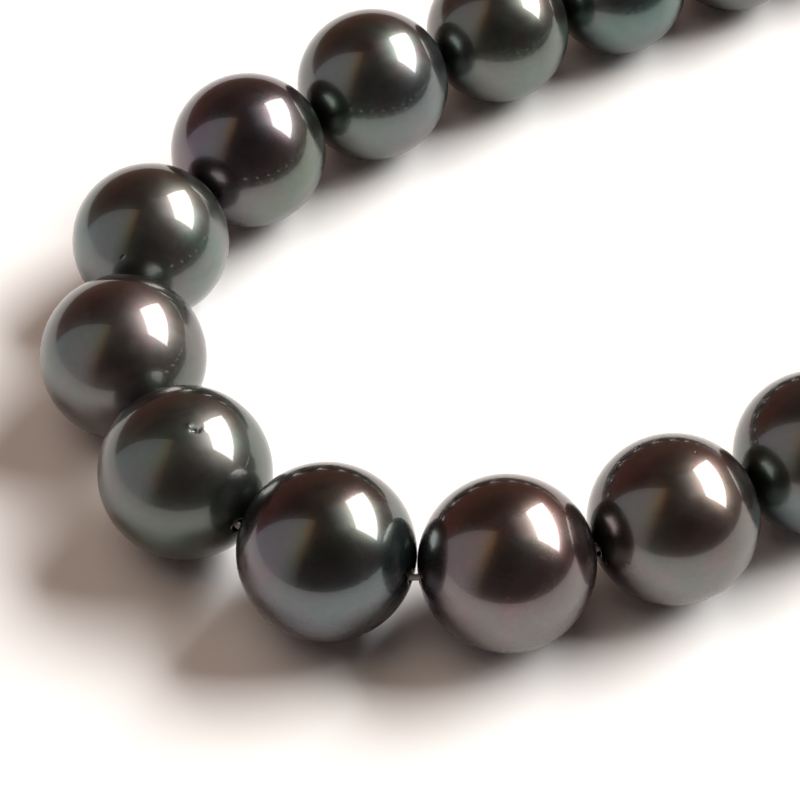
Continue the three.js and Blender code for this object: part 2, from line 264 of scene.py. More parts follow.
def nacre(name, rough, metallic, coat_rough, film=0.0):
    mt, nt, b = mat(name)
    co = nt.nodes.new("ShaderNodeTexCoord").outputs["Object"]
    # the patch colours stored on the mesh: the nacre's tint, and on the pearls coloured one by one also painted shade
    # and painted reflection by side
    at = nt.nodes.new("ShaderNodeAttribute")
    at.attribute_name = "overtone_and_painted_shade"
    cloud = noise(nt, co, 420.0, 3.0, 0.55, 0.6)
    fine = noise(nt, co, 2600.0, 2.0, 0.6)
    shade = ramp(nt, cloud.outputs[0], 0.3, 0.7, 0.90, 1.10)
    shade2 = ramp(nt, fine.outputs[0], 0.3, 0.7, 0.97, 1.03)
    mul = nd(nt, "ShaderNodeMath", operation="MULTIPLY")
    nt.links.new(shade, mul.inputs[0])
    nt.links.new(shade2, mul.inputs[1])
    vm = nd(nt, "ShaderNodeVectorMath", operation="SCALE")
    nt.links.new(at.outputs["Color"], vm.inputs[0])
    nt.links.new(mul.outputs[0], vm.inputs["Scale"])
    # the overtone drifts between rose and green in soft clouds
    drift = noise(nt, co, 260.0, 3.0, 0.55, 0.8)
    hues = nt.nodes.new("ShaderNodeValToRGB")
    hues.color_ramp.elements[0].position = 0.36
    hues.color_ramp.elements[0].color = (1.10, 0.93, 1.00, 1)
    hues.color_ramp.elements[1].position = 0.64
    hues.color_ramp.elements[1].color = (0.90, 1.06, 1.03, 1)
    nt.links.new(drift.outputs[0], hues.inputs[0])
    tint = nd(nt, "ShaderNodeVectorMath", operation="MULTIPLY")
    nt.links.new(vm.outputs[0], tint.inputs[0])
    nt.links.new(hues.outputs[0], tint.inputs[1])
    nt.links.new(tint.outputs[0], b.inputs["Base Color"])
    b.inputs["Metallic"].default_value = metallic
    lus = nt.nodes.new("ShaderNodeAttribute")
    lus.attribute_name = "lustre"
    lm = nd(nt, "ShaderNodeMath", operation="MULTIPLY")
    nt.links.new(ramp(nt, cloud.outputs[0], 0.3, 0.7, 0.90, 1.10), lm.inputs[0])
    nt.links.new(lus.outputs["Fac"], lm.inputs[1])
    nt.links.new(lm.outputs[0], b.inputs["Roughness"])
    # less reflective at grazing angles than a bare metal
    b.inputs["Specular Tint"].default_value = (0.58, 0.57, 0.56, 1)
    b.inputs["Coat Weight"].default_value = 0.85
    b.inputs["Coat Roughness"].default_value = coat_rough
    b.inputs["Coat IOR"].default_value = 1.53
    # very fine growth texture, and a few pinprick pits
    peel = noise(nt, co, 1500.0, 2.0, 0.5)
    vor = nt.nodes.new("ShaderNodeTexVoronoi")
    vor.inputs["Scale"].default_value = 330.0
    nt.links.new(co, vor.inputs["Vector"])
    pit = ramp(nt, vor.outputs["Distance"], 0.0, 0.075, 0.0, 1.0)
    add = nd(nt, "ShaderNodeMath", operation="MULTIPLY_ADD")
    nt.links.new(peel.outputs[0], add.inputs[0])
    add.inputs[1].default_value = 0.35
    nt.links.new(pit, add.inputs[2])
    bump = nd(nt, "ShaderNodeBump")
    bump.inputs["Strength"].default_value = 0.16
    bump.inputs["Distance"].default_value = 0.000012
    nt.links.new(add.outputs[0], bump.inputs["Height"])
    nt.links.new(bump.outputs[0], b.inputs["Normal"])
    return mt


NACRE = {
    "nacre_grey": nacre("nacre_grey", 0.30, 0.96, 0.055),
    "nacre_green": nacre("nacre_green", 0.30, 0.96, 0.055),
    "nacre_aubergine": nacre("nacre_aubergine", 0.30, 0.96, 0.055),
    "nacre_blue": nacre("nacre_blue", 0.30, 0.96, 0.055),
    "nacre_violet": nacre("nacre_violet", 0.30, 0.96, 0.055),
}


def silk_material():
    mt, nt, b = mat("silk")
    co = nt.nodes.new("ShaderNodeTexCoord").outputs["Object"]
    n = noise(nt, co, 9000.0, 3.0, 0.7)
    cr = nt.nodes.new("ShaderNodeValToRGB")
    cr.color_ramp.elements[0].color = (0.20, 0.17, 0.155, 1)
    cr.color_ramp.elements[1].color = (0.42, 0.37, 0.34, 1)
    nt.links.new(n.outputs[0], cr.inputs[0])
    nt.links.new(cr.outputs[0], b.inputs["Base Color"])
    b.inputs["Roughness"].default_value = 0.62
    b.inputs["Sheen Weight"].default_value = 0.4
    bump = nd(nt, "ShaderNodeBump")
    bump.inputs["Strength"].default_value = 0.5
    bump.inputs["Distance"].default_value = 0.00002
    nt.links.new(n.outputs[0], bump.inputs["Height"])
    nt.links.new(bump.outputs[0], b.inputs["Normal"])
    return mt


def metal_material(name, color, rough, scratch=0.25):
    mt, nt, b = mat(name)
    tc = nt.nodes.new("ShaderNodeTexCoord").outputs["Object"]
    big = noise(nt, tc, 500.0, 3.0, 0.6)
    mp = nt.nodes.new("ShaderNodeMapping")
    mp.inputs["Rotation"].default_value = (0.4, 0.2, 0.9)
    mp.inputs["Scale"].default_value = (1.0, 14.0, 6.0)
    nt.links.new(tc, mp.inputs["Vector"])
    fine = noise(nt, mp.outputs[0], 900.0, 3.0, 0.7)
    mix = nd(nt, "ShaderNodeMix", data_type="RGBA")
    nt.links.new(ramp(nt, big.outputs[0], 0.3, 0.7, 0.0, 1.0), mix.inputs[0])
    mix.inputs[6].default_value = (*[c * 0.90 for c in color], 1)
    mix.inputs[7].default_value = (*color, 1)
    nt.links.new(mix.outputs[2], b.inputs["Base Color"])
    b.inputs["Metallic"].default_value = 1.0
    nt.links.new(ramp(nt, big.outputs[0], 0.3, 0.7, rough * 0.75, rough * 1.35), b.inputs["Roughness"])
    bump = nd(nt, "ShaderNodeBump")
    bump.inputs["Strength"].default_value = scratch
    bump.inputs["Distance"].default_value = 0.000006
    nt.links.new(fine.outputs[0], bump.inputs["Height"])
    nt.links.new(bump.outputs[0], b.inputs["Normal"])
    return mt


SILK = silk_material()
SILVER = metal_material("silver", (0.47, 0.47, 0.49), 0.19)
GIMP = metal_material("gimp_wire", (0.62, 0.62, 0.63), 0.25)
SPRING = metal_material("spring_steel", (0.55, 0.55, 0.56), 0.28)

# ----------------------------------------------------------------------- pearls
# overtone colours (reflectance of the nacre) over the crown, the left flank, the lower side
# and the lower right flank of each pearl, as the strand lies
OVERTONE = {
    "nacre_grey": ((0.100, 0.096, 0.090), (0.104, 0.106, 0.108), (0.110, 0.114, 0.108), (0.106, 0.116, 0.110)),
    "nacre_green": ((0.092, 0.096, 0.084), (0.098, 0.108, 0.104), (0.094, 0.112, 0.104), (0.098, 0.122, 0.110)),
    "nacre_aubergine": ((0.122, 0.090, 0.078), (0.122, 0.100, 0.104), (0.136, 0.112, 0.112), (0.130, 0.116, 0.108)),
    "nacre_blue": ((0.092, 0.090, 0.084), (0.092, 0.104, 0.110), (0.084, 0.106, 0.112), (0.084, 0.116, 0.116)),
    "nacre_violet": ((0.094, 0.080, 0.090), (0.106, 0.096, 0.112), (0.112, 0.100, 0.110), (0.098, 0.118, 0.108)),
}
LUSTRE = {18: 0.30, 19: 0.29, 20: 0.27, 21: 0.27, 22: 0.35, 23: 0.36, 24: 0.34, 25: 0.29, 26: 0.31, 27: 0.32, 28: 0.32}
# colours of the four patches of each pearl that is set one by one: partly the nacre's own tint, partly painted shade
# and painted reflection, with each side made lighter or darker to suit how the lights fall on it
OWN_TONE_AND_SHADE = {
    18: ((0.096, 0.090, 0.080), (0.100, 0.100, 0.092), (0.074, 0.106, 0.110), (0.072, 0.110, 0.112)),
    19: ((0.114, 0.082, 0.070), (0.106, 0.098, 0.098), (0.124, 0.114, 0.106), (0.090, 0.094, 0.086)),
    20: ((0.120, 0.086, 0.074), (0.124, 0.098, 0.104), (0.130, 0.106, 0.102), (0.112, 0.098, 0.096)),
    21: ((0.086, 0.076, 0.064), (0.092, 0.080, 0.088), (0.080, 0.088, 0.100), (0.074, 0.100, 0.100)),
    22: ((0.080, 0.088, 0.074), (0.082, 0.092, 0.090), (0.080, 0.090, 0.080), (0.074, 0.090, 0.080)),
    23: ((0.096, 0.088, 0.078), (0.086, 0.090, 0.090), (0.110, 0.112, 0.104), (0.092, 0.094, 0.084)),
    24: ((0.088, 0.080, 0.068), (0.100, 0.124, 0.124), (0.084, 0.098, 0.094), (0.112, 0.136, 0.124)),
    25: ((0.078, 0.066, 0.070), (0.098, 0.082, 0.094), (0.104, 0.084, 0.100), (0.090, 0.112, 0.086)),
    26: ((0.096, 0.090, 0.080), (0.096, 0.102, 0.100), (0.106, 0.118, 0.108), (0.092, 0.108, 0.110)),
    27: ((0.094, 0.086, 0.074), (0.098, 0.100, 0.090), (0.092, 0.108, 0.094), (0.090, 0.116, 0.100)),
    28: ((0.092, 0.088, 0.078), (0.086, 0.104, 0.096), (0.076, 0.106, 0.102), (0.076, 0.118, 0.110)),
}
# the four patches, as directions in the object's own frame: crown, left flank, front foot
# and right front foot
ZONES = np.array(((0.05, -0.36, 0.93), (-0.80, -0.32, 0.51), (-0.20, -0.97, -0.11), (0.68, -0.73, -0.05)))
ZONES /= np.linalg.norm(ZONES, axis=1, keepdims=True)
# growth marks: from (x, y) to (x, y) as they show, in radii; width and depth in mm
MARKS = {
    22: [((0.070, 0.466), (0.135, 0.456), 0.18, 0.058), ((0.142, 0.460), (0.165, 0.482), 0.14, 0.018),
         ((0.036, 0.520), (0.044, 0.524), 0.27, -0.046), ((0.200, 0.476), (0.208, 0.482), 0.22, -0.028),
         ((-0.28, -0.55), (-0.27, -0.55), 0.10, 0.010)],
    23: [((-0.47, 0.47), (-0.37, 0.535), 0.07, 0.010), ((-0.41, 0.43), (-0.40, 0.43), 0.08, -0.008)],
    24: [((-0.37, -0.215), (-0.335, -0.185), 0.12, 0.034)],
    19: [((0.245, 0.76), (0.255, 0.76), 0.10, 0.022), ((0.30, -0.55), (0.31, -0.55), 0.08, 0.008)],
}


def pearl(i, slot):
    R = PEARL_R[i]
    rng = np.random.RandomState(4100 + i)
    near = 16 <= i <= 30
    ns, nr = (192, 144) if near else (72, 56)
    u = ALONG[i]
    v = np.array((-u[1], u[0], 0.0))
    w = np.array((0.0, 0.0, 1.0))
    # profile from one drill mouth to the other, then back through the drill hole
    mouth = math.asin((DRILL_R + 0.02) / R)
    th = 2 * math.pi * np.arange(ns) / ns
    a = np.linspace(mouth, math.pi - mouth, nr)
    if i in MARKS and MARKS[i]:
        # a finer grid where the main growth mark is
        c = seen_dir(i, *MARKS[i][0][0]) + seen_dir(i, *MARKS[i][0][1])
        c /= np.linalg.norm(c)
        ns, nr = 260, 200
        a0 = math.acos(-float(c @ u))
        t0 = math.atan2(float(c @ w), float(c @ v))
        g = np.linspace(mouth, math.pi - mouth, 4000)
        cum = np.cumsum(1 + 7.0 * np.exp(-((g - a0) / 0.16) ** 2))
        a = np.interp(np.linspace(cum[0], cum[-1], nr), cum, g)
        g = np.linspace(0, 2 * math.pi, 8000)
        dd = (g - t0 + math.pi) % (2 * math.pi) - math.pi
        cum = np.concatenate(([0.0], np.cumsum(1 + 7.0 * np.exp(-(dd / 0.20) ** 2))))[:-1]
        th = np.interp(np.linspace(0, cum[-1], ns + 1)[:-1], cum, g)
    prof = [(R * math.sin(t), -R * math.cos(t)) for t in a]
    xm = R * math.cos(mouth)
    bore = DRILL_R - 0.03
    edge = [(DRILL_R, xm - 0.02), (bore + 0.008, xm - 0.06), (bore, xm - 0.14)]
    inner = [(bore, xm - 0.6), (bore, xm * 0.5), (bore, 0.0), (bore, -xm * 0.5), (bore, -xm + 0.6)]
    prof = prof + edge + inner + [(r, -x) for r, x in edge[::-1]]
    prof = np.array(prof)
    P = (prof[:, 1][:, None, None] * u + (prof[:, 0][:, None] * np.cos(th))[..., None] * v
         + (prof[:, 0][:, None] * np.sin(th))[..., None] * w)
    V = P.reshape(-1, 3)
    rad = np.linalg.norm(V, axis=1)
    D = V / np.maximum(rad, 1e-9)[:, None]
    # a real pearl isn't quite round
    f = np.zeros(len(V))
    fd = 0.0
    down = np.array((0.0, 0.0, -1.0))
    for k, amp in ((1.6, 0.0030), (2.4, 0.0022), (3.8, 0.0011), (7.0, 0.0003)):
        q = rng.normal(size=3)
        q /= np.linalg.norm(q)
        ph = rng.uniform(0, 6.28)
        f += amp * np.cos(k * (D @ q) + ph)
        fd += amp * math.cos(k * float(down @ q) + ph)
    outer = rad > R * 0.985
    shift = R * (f - fd) + GROW * (1 - D[:, 2] ** 2)
    # kept under half of the 0.10 mm that two pearls still have between them at a limit
    soft = 0.008
    shift = -soft * np.log(np.exp(-shift / soft) + math.exp(-0.046 / soft))
    for p1, p2, width, depth in MARKS.get(i, []):
        c1, c2 = seen_dir(i, *p1), seen_dir(i, *p2)
        run = c2 - c1
        k = np.clip(((D - c1) @ run) / (run @ run), 0, 1)
        dist = np.linalg.norm(D - (c1 + k[:, None] * run), axis=1) * R
        taper = 1 - 0.45 * np.abs(2 * k - 1)
        shift -= depth * taper * np.exp(-(dist / (width * 0.75)) ** 2)
    V = V + D * (np.where(outer, shift, 0.0))[:, None]
    V = V + CENTRE[i]
    V[:, 2] = np.maximum(V[:, 2], 0.0)
    ob = new_mesh(f"nacre_{i + 1:02d}", V, ring_faces(len(prof), ns, closed=True))
    cols = np.array(OWN_TONE_AND_SHADE.get(i, OVERTONE[slot]))
    if i not in OWN_TONE_AND_SHADE:
        cols = cols * (1 + rng.uniform(-0.07, 0.07, (4, 3)))
    q = rng.normal(size=3)
    q /= np.linalg.norm(q)
    wander = 0.10 * np.sin(4.0 * (D @ q) + rng.uniform(0, 6.28))
    # on the pearls coloured one by one the patches keep these directions, so their painted shade and painted
    # reflection stay lined up with the lights
    zones = ZONES
    if i not in OWN_TONE_AND_SHADE:
        # nothing lines up the patches of one pearl with those of the next
        turn, _ = np.linalg.qr(rng.normal(size=(3, 3)))
        zones = ZONES @ turn
    wts = np.stack([np.exp(((D @ zn) - 1 + wander * (-1) ** k) / 0.16) for k, zn in enumerate(zones)], 1)
    wts /= wts.sum(1)[:, None]
    col = wts @ cols
    # stores the patch colours: nacre tint, together with painted shade and painted reflection on the pearls coloured
    # one by one
    at = ob.data.color_attributes.new("overtone_and_painted_shade", "FLOAT_COLOR", "POINT")
    at.data.foreach_set("color", np.concatenate([col, np.ones((len(V), 1))], 1).astype(np.float32).ravel())
    lu = ob.data.attributes.new("lustre", "FLOAT", "POINT")
    lu.data.foreach_set("value", np.full(len(V), LUSTRE.get(i, 0.29 + 0.06 * rng.rand()), np.float32))
    ob.data.materials.append(NACRE[slot])
    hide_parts(f"pearl_{i + 1:02d}")
    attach(ob, f"pearl_{i + 1:02d}")
    return ob


SLOT_OF = {s["node"]: s["material_slot"] for s in frame["record"]["subparts"]}
for i in range(N):
    pearl(i, SLOT_OF[f"pearl_{i + 1:02d}"])

# ----------------------------------------------------------------------- thread
THREAD_R = 0.24
TWIST = 2 * math.pi / 1.5 / 3


def thread(name, pts, step=0.10):
    pts = np.asarray(pts, float)
    s = np.concatenate(([0.0], np.cumsum(np.linalg.norm(np.diff(pts, axis=0), axis=1))))
    n = max(int(s[-1] / step), 8)
    t = np.linspace(0, s[-1], n)
    fine = np.stack([np.interp(t, s, pts[:, k]) for k in range(3)], 1)
    return sweep(fine, THREAD_R, 12, lobes=3, lobe=0.16, twist=TWIST)


for g in range(N - 1):
    a, b = CENTRE[g], CENTRE[g + 1]
    p = PIVOT[g]
    # a smooth line from one pearl's middle to the next
    t = np.linspace(0, 1, 25)
    pa, pb = p - ALONG[g] * 0.5, p + ALONG[g + 1] * 0.5
    pts = [a] + [a + (pa - a) * k for k in (0.25, 0.5, 0.75)]
    for k in np.linspace(0, 1, 7):
        pts.append((1 - k) ** 2 * pa + 2 * k * (1 - k) * p + k * k * pb)
    pts += [pb + (b - pb) * k for k in (0.25, 0.5, 0.75, 1.0)]
    v, f = thread("t", pts, 0.14)
    ob = new_mesh(f"thread_{g + 1:02d}", v, f)
    ob.data.materials.append(SILK)
    if g % 7 == 0:
        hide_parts(f"stringing_thread_{g // 7 + 1}")
    A, B = f"pearl_{g + 1:02d}", f"pearl_{g + 2:02d}"
    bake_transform(ob)

# ------------------------------------------------------- ends: knot, gimp, rings
GIMP_T0, GIMP_LEG, GIMP_TS, GIMP_LOOP_R = 1.75, 0.51, 3.05, 1.15
APEX_T = GIMP_TS + GIMP_LOOP_R
RING_R, RING_WIRE_R, CATCH_R, CATCH_WIRE_R, LINK_PLAY = 2.60, 0.40, 2.60, 0.50, 0.10
GIMP_R = 0.45


class End:
    def __init__(self, index, outward, tag):
        self.u = ALONG[index] * outward
        self.v = np.array((-self.u[1], self.u[0], 0.0))
        self.o = CENTRE[index] + self.u * PEARL_R[index]
        self.z = PEARL_R[index]
        self.o[2] = 0.0
        self.index, self.tag, self.body = index, tag, f"pearl_{index + 1:02d}"

    def point(self, t, s, z):
        p = self.o + self.u * t + self.v * s
        p[2] = z
        return p


ENDS = [End(0, -1, "a"), End(N - 1, 1, "b")]


def loop_line():
    pts = []
    for k in np.linspace(0, 1, 16, endpoint=False):
        e = k * k * (3 - 2 * k)
        pts.append((GIMP_T0 + (GIMP_TS - GIMP_T0) * k, GIMP_LEG + (GIMP_LOOP_R - GIMP_LEG) * e))
    for a in np.linspace(math.pi / 2, -math.pi / 2, 40):
        pts.append((GIMP_TS + GIMP_LOOP_R * math.cos(a), GIMP_LOOP_R * math.sin(a)))
    for k in np.linspace(1, 0, 17)[1:]:
        e = k * k * (3 - 2 * k)
        pts.append((GIMP_T0 + (GIMP_TS - GIMP_T0) * k, -(GIMP_LEG + (GIMP_LOOP_R - GIMP_LEG) * e)))
    return pts


def resample(pts, step):
    pts = np.asarray(pts, float)
    s = np.concatenate(([0.0], np.cumsum(np.linalg.norm(np.diff(pts, axis=0), axis=1))))
    t = np.linspace(0, s[-1], max(int(s[-1] / step), 4))
    return np.stack([np.interp(t, s, pts[:, k]) for k in range(3)], 1)


for end in ENDS:
    line = [end.point(t, s, end.z) for t, s in loop_line()]
    # thread: out of the last pearl, through the knot, round the loop and back into the knot
    straight = [end.point(t, 0.0, end.z) for t in np.linspace(-PEARL_R[end.index], 1.0, 40)]
    lead_in = [end.point(0.75, 0.10, end.z), end.point(1.15, 0.22, end.z), end.point(1.45, 0.38, end.z)]
    lead_out = [end.point(1.45, -0.38, end.z), end.point(1.15, -0.22, end.z), end.point(0.75, -0.10, end.z)]
    round_loop = resample(lead_in + line + lead_out, 0.10)
    parts = [thread("s", straight, 0.12), sweep(round_loop, THREAD_R * 0.92, 12, lobes=3, lobe=0.16, twist=TWIST)]
    v, f = joined(parts)
    ob = new_mesh(f"thread_end_{end.tag}", v, f)
    ob.data.materials.append(SILK)
    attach(ob, end.body)

    # finishing knot: an overhand knot pulled tight
    k = np.linspace(0, 2 * math.pi, 120, endpoint=False)
    rr = 0.31 + 0.145 * np.cos(3 * k)
    knot = [end.point(0.68 + 0.27 * math.sin(3 * a), r * math.cos(2 * a), end.z + r * math.sin(2 * a)) for a, r in zip(k, rr)]
    v, f = sweep(knot, 0.185, 14, closed=True, lobes=3, lobe=0.14, twist=TWIST * 1.0)
    ob = new_mesh(f"knot_{end.tag}", v, f)
    ob.data.materials.append(SILK)
    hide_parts(f"finishing_knot_{end.tag}")
    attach(ob, end.body)

    # gimp: a close coil of fine wire round the loop
    path = resample(line, 0.02)
    t, nn, bb = path_frames(path)
    s = np.concatenate(([0.0], np.cumsum(np.linalg.norm(np.diff(path, axis=0), axis=1))))
    turns = s[-1] / 0.118
    steps = int(turns * 14)
    q = np.linspace(0, 1, steps)
    si = q * s[-1]
    base = np.stack([np.interp(si, s, path[:, c]) for c in range(3)], 1)
    n1 = np.stack([np.interp(si, s, nn[:, c]) for c in range(3)], 1)
    b1 = np.stack([np.interp(si, s, bb[:, c]) for c in range(3)], 1)
    ang = 2 * math.pi * turns * q
    coil = base + 0.392 * (np.cos(ang)[:, None] * n1 + np.sin(ang)[:, None] * b1)
    v, f = sweep(coil, 0.052, 6)
    ob = new_mesh(f"gimp_coil_{end.tag}", v, f)
    ob.data.materials.append(GIMP)
    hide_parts(f"gimp_{end.tag}")
    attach(ob, end.body)

    # jump ring: round wire bent to a circle, its two ends meeting in a fine seam
    c = node_mid(f"jump_ring_{end.tag}")
    a = np.radians(np.linspace(38 + 0.55, 38 + 360 - 0.55, 160))
    ring = [c + end.u * (RING_R * math.cos(x)) + np.array((0, 0, 1.0)) * (RING_R * math.sin(x)) for x in a]
    rads = np.full(len(a), RING_WIRE_R)
    rads[0] = rads[-1] = RING_WIRE_R * 0.93
    v, f = sweep(ring, rads, 28, cap_round=False)
    ob = new_mesh(f"ring_{end.tag}", v, f)
    ob.data.materials.append(SILVER)
    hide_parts(f"jump_ring_{end.tag}")
    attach(ob, f"jump_ring_{end.tag}")

# catch ring: a soldered ring, its near rim up on the jump ring and its far rim on the surface
endB = ENDS[1]
zc = RING_R + RING_WIRE_R + 0.012
drop = endB.z - zc
play_a = RING_R - RING_WIRE_R - GIMP_R - LINK_PLAY
tc = APEX_T + math.sqrt(play_a ** 2 - drop ** 2)
play = RING_R - RING_WIRE_R - CATCH_WIRE_R - LINK_PLAY
near_z = zc - play * 0.985
near_t = tc + math.sqrt(play ** 2 - (zc - near_z) ** 2)
tilt = math.asin((near_z - CATCH_WIRE_R) / (2 * CATCH_R))
mid = endB.point(near_t, 0, near_z)
e1 = endB.u * math.cos(tilt) + np.array((0, 0, -math.sin(tilt)))
k = np.linspace(0, 2 * math.pi, 180, endpoint=False)
ring = [mid + e1 * CATCH_R + e1 * (CATCH_R * math.cos(x)) + endB.v * (CATCH_R * math.sin(x)) for x in k]
rads = CATCH_WIRE_R * (1 - 0.035 * np.exp(-((k - 2.2) / 0.05) ** 2) - 0.02 * np.exp(-((k - 2.42) / 0.03) ** 2))
v, f = sweep(ring, rads, 32, closed=True)
ob = new_mesh("catch", v, f)
ob.data.materials.append(SILVER)
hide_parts("catch_ring")
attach(ob, "catch_ring")


# ------------------------------------------------------------------------ clasp
def cast(node, name, voxel, rounds, material, body):
    """The CAD solid with its edges rounded off, as a cast and tumbled piece has them."""
    src = frame["nodes"][node]
    me = src.data.copy()
    me.name = name
    co = np.empty(len(me.vertices) * 3)
    me.vertices.foreach_get("co", co)
    me.vertices.foreach_set("co", co * 1000.0)
    me.materials.clear()
    ob = bpy.data.objects.new(name, me)
    bpy.context.scene.collection.objects.link(ob)
    w = ob.modifiers.new("weld", "WELD")
    w.merge_threshold = 0.0005
    r = ob.modifiers.new("remesh", "REMESH")
    r.mode = "VOXEL"
    r.voxel_size = voxel
    sm = ob.modifiers.new("smooth", "SMOOTH")
    sm.factor = 0.5
    sm.iterations = rounds
    dg = bpy.context.evaluated_depsgraph_get()
    done = bpy.data.meshes.new_from_object(ob.evaluated_get(dg))
    ob.modifiers.clear()
    ob.data = done
    co = np.empty(len(done.vertices) * 3)
    done.vertices.foreach_get("co", co)
    done.vertices.foreach_set("co", co * 0.001)
    done.polygons.foreach_set("use_smooth", [True] * len(done.polygons))
    done.materials.clear()
    done.materials.append(material)
    done.update()
    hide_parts(node)
    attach(ob, body)
    return ob


cast("clasp_body", "claw", 0.075, 9, SILVER, "clasp_body")
cast("clasp_lever", "lever", 0.06, 7, SILVER, "clasp_lever")
cast("clasp_rivet", "rivet", 0.045, 3, SILVER, "clasp_body")
cast("clasp_spring", "leaf_spring", 0.035, 2, SPRING, "clasp_body")

# ------------------------------------------------------------------------ stage
centre = (CENTRE[21][0] * MM, CENTRE[21][1] * MM)


def quad(name, pts):
    me = bpy.data.meshes.new(name)
    me.from_pydata([tuple(p) for p in pts], [], [tuple(range(len(pts)))])
    me.update()
    ob = bpy.data.objects.new(name, me)
    bpy.context.scene.collection.objects.link(ob)
    ob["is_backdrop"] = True
    return ob


floor = quad("floor", [(3 * math.cos(a), 3 * math.sin(a), 0.0) for a in np.linspace(0, 2 * math.pi, 96, endpoint=False)])
mt, nt, b = mat("floor")
co = nt.nodes.new("ShaderNodeTexCoord").outputs["Object"]
n = noise(nt, co, 60.0, 3.0, 0.6)
cr = nt.nodes.new("ShaderNodeValToRGB")
cr.color_ramp.elements[0].color = (0.875, 0.870, 0.865, 1)
cr.color_ramp.elements[1].color = (0.895, 0.890, 0.885, 1)
nt.links.new(n.outputs[0], cr.inputs[0])
nt.links.new(cr.outputs[0], b.inputs["Base Color"])
b.inputs["Roughness"].default_value = 0.55
b.inputs["Specular IOR Level"].default_value = 0.25
floor.data.materials.append(mt)

# the main light: a tall soft window, high to the right and behind
D = 2.4
az = math.radians(25.0)
toward = Vector((math.cos(az), math.sin(az), 0.0))
light = bpy.data.lights.new("window", "AREA")
light.shape = "RECTANGLE"
light.size = 1.155 * D
light.size_y = 0.99 * D
light.energy = 1.0
win = bpy.data.objects.new("window", light)
bpy.context.scene.collection.objects.link(win)
pos = Vector((centre[0], centre[1], 0.0055)) + toward * D + Vector((0, 0, 0.985 * D))
zax = toward.copy()                       # the light shines along its own -Z
yax = Vector((0, 0, 1))
xax = yax.cross(zax)
mw = Matrix.Identity(4)
for r in range(3):
    mw[r][0], mw[r][1], mw[r][2], mw[r][3] = xax[r], yax[r], zax[r], pos[r]
win.matrix_world = mw
win.visible_camera = False
RADIANCE = 15.5
light.energy = RADIANCE * math.pi * light.size * light.size_y
light.color = (1.0, 0.985, 0.965)

# the ceiling over the window's upper edge, brightest at the window
CW = 2.2
w0, h0 = light.size / 2, light.size_y / 2
corners = [(-w0, 0.0), (w0, 0.0), (w0, CW), (-w0, CW)]
ceiling = quad("ceiling", [tuple(pos + xax * p - toward * q + Vector((0, 0, h0))) for p, q in corners])
mt = bpy.data.materials.new("ceiling")
mt.use_nodes = True
nt = mt.node_tree
nt.nodes.clear()
out = nt.nodes.new("ShaderNodeOutputMaterial")
em = nt.nodes.new("ShaderNodeEmission")
nt.links.new(em.outputs[0], out.inputs[0])
tco = nt.nodes.new("ShaderNodeTexCoord").outputs["Object"]
dot = nd(nt, "ShaderNodeVectorMath", operation="DOT_PRODUCT")
nt.links.new(tco, dot.inputs[0])
dot.inputs[1].default_value = tuple(toward)
start = float(pos.dot(toward))
fall = ramp(nt, dot.outputs["Value"], start - CW, start, 0.0, 1.0)
sq = nd(nt, "ShaderNodeMath", operation="POWER")
nt.links.new(fall, sq.inputs[0])
sq.inputs[1].default_value = 2.0
across = nd(nt, "ShaderNodeVectorMath", operation="DOT_PRODUCT")
nt.links.new(tco, across.inputs[0])
across.inputs[1].default_value = tuple(xax)
mid_x = float(pos.dot(xax))
lowfade = ramp(nt, across.outputs["Value"], mid_x - w0, mid_x - w0 + 0.5, 0.0, 1.0)
topfade = ramp(nt, across.outputs["Value"], mid_x + w0 - 0.5, mid_x + w0, 1.0, 0.0)
m1 = nd(nt, "ShaderNodeMath", operation="MULTIPLY")
nt.links.new(lowfade, m1.inputs[0])
nt.links.new(topfade, m1.inputs[1])
m2 = nd(nt, "ShaderNodeMath", operation="MULTIPLY")
nt.links.new(sq.outputs[0], m2.inputs[0])
nt.links.new(m1.outputs[0], m2.inputs[1])
m3 = nd(nt, "ShaderNodeMath", operation="MULTIPLY")
nt.links.new(m2.outputs[0], m3.inputs[0])
m3.inputs[1].default_value = 3.0
nt.links.new(m3.outputs[0], em.inputs["Strength"])
em.inputs["Color"].default_value = (0.97, 0.98, 1.0, 1)
ceiling.data.materials.append(mt)
ceiling.visible_camera = False
ceiling.visible_shadow = False
ceiling.visible_diffuse = False

# a large pale board on the left, with a warm edge, that the pearls mirror
DB = 0.60
A = (centre[0] - DB, centre[1] + 0.344 * DB, 0.0)
B = (centre[0] - DB, centre[1] - 1.6 * DB, 0.0)
C = (centre[0] - DB, centre[1] - 1.6 * DB, 3.1 * DB)
E = (centre[0] - DB, centre[1] + 0.344 * DB, 6.6 * DB)
board = quad("board", [A, B, C, E])
mt = bpy.data.materials.new("board")
mt.use_nodes = True
nt = mt.node_tree
nt.nodes.clear()
out = nt.nodes.new("ShaderNodeOutputMaterial")
em = nt.nodes.new("ShaderNodeEmission")
nt.links.new(em.outputs[0], out.inputs[0])
tco = nt.nodes.new("ShaderNodeTexCoord").outputs["Object"]
sp = nt.nodes.new("ShaderNodeSeparateXYZ")
nt.links.new(tco, sp.inputs[0])
